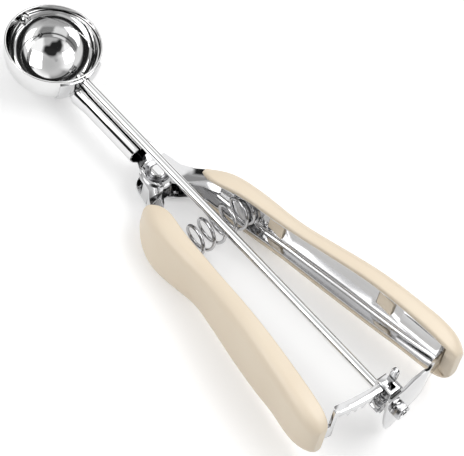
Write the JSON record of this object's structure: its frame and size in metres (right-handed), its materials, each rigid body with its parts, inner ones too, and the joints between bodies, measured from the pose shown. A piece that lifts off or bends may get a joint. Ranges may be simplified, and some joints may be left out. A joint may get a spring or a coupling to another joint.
{
  "type": "lever ice cream scoop",
  "caption": "Squeeze-handle portion scoop: a half-ball steel bowl with a sweeping scraper, driven by a rack and pinion through a long shaft, on cream covered handles.",
  "frame": {"origin": "centre of the bowl's mouth, in the plane of the rim", "axes": "+X from the handles to the bowl, +Y to the squeezing handle's side, +Z out of the bowl's mouth"},
  "size_m": [0.2302, 0.0754, 0.0384],
  "materials": {
    "steel": "polished stainless steel",
    "plate": "plain pressed steel",
    "gear": "cut steel",
    "spring": "bright drawn wire",
    "cover": "satin cream plastic"
  },
  "bodies": {
    "frame": {"bowl": "steel", "bowl_saddle": "steel", "neck_tube": "steel", "frame_channel": "steel", "grip_right": "cover", "rear_arm": "steel", "yoke": "steel", "pivot_rivet": "steel", "pivot_washer": "steel", "spring_seat_right": "plate", "scraper_pin": "steel", "return_spring": "spring"},
    "squeeze_lever": {"lever_channel": "steel", "grip_left": "cover", "rack": "steel", "spring_seat_left": "plate"},
    "sweep": {"drive_shaft": "steel", "pinion": "gear", "shaft_nut": "gear", "shaft_washer": "steel", "scraper_blade": "steel"}
  },
  "joints": [
    {"name": "squeeze", "type": "hinge", "parent": "frame", "child": "squeeze_lever", "pos_m": [-0.0668, 0, -0.0172], "axis": [0, 0, 1], "range_deg": [0, 7.5], "stiffness_Nm_per_rad": 4, "springref_deg": -5.73, "deforming": ["return_spring"]},
    {"name": "scraper_sweep", "type": "hinge", "parent": "frame", "child": "sweep", "pos_m": [0, 0, -0.0034], "axis": [1, 0, 0], "range_deg": [0, 165]}
  ],
  "couplings": [
    {"joint": "scraper_sweep", "follows": "squeeze", "ratio": 21.9}
  ]
}
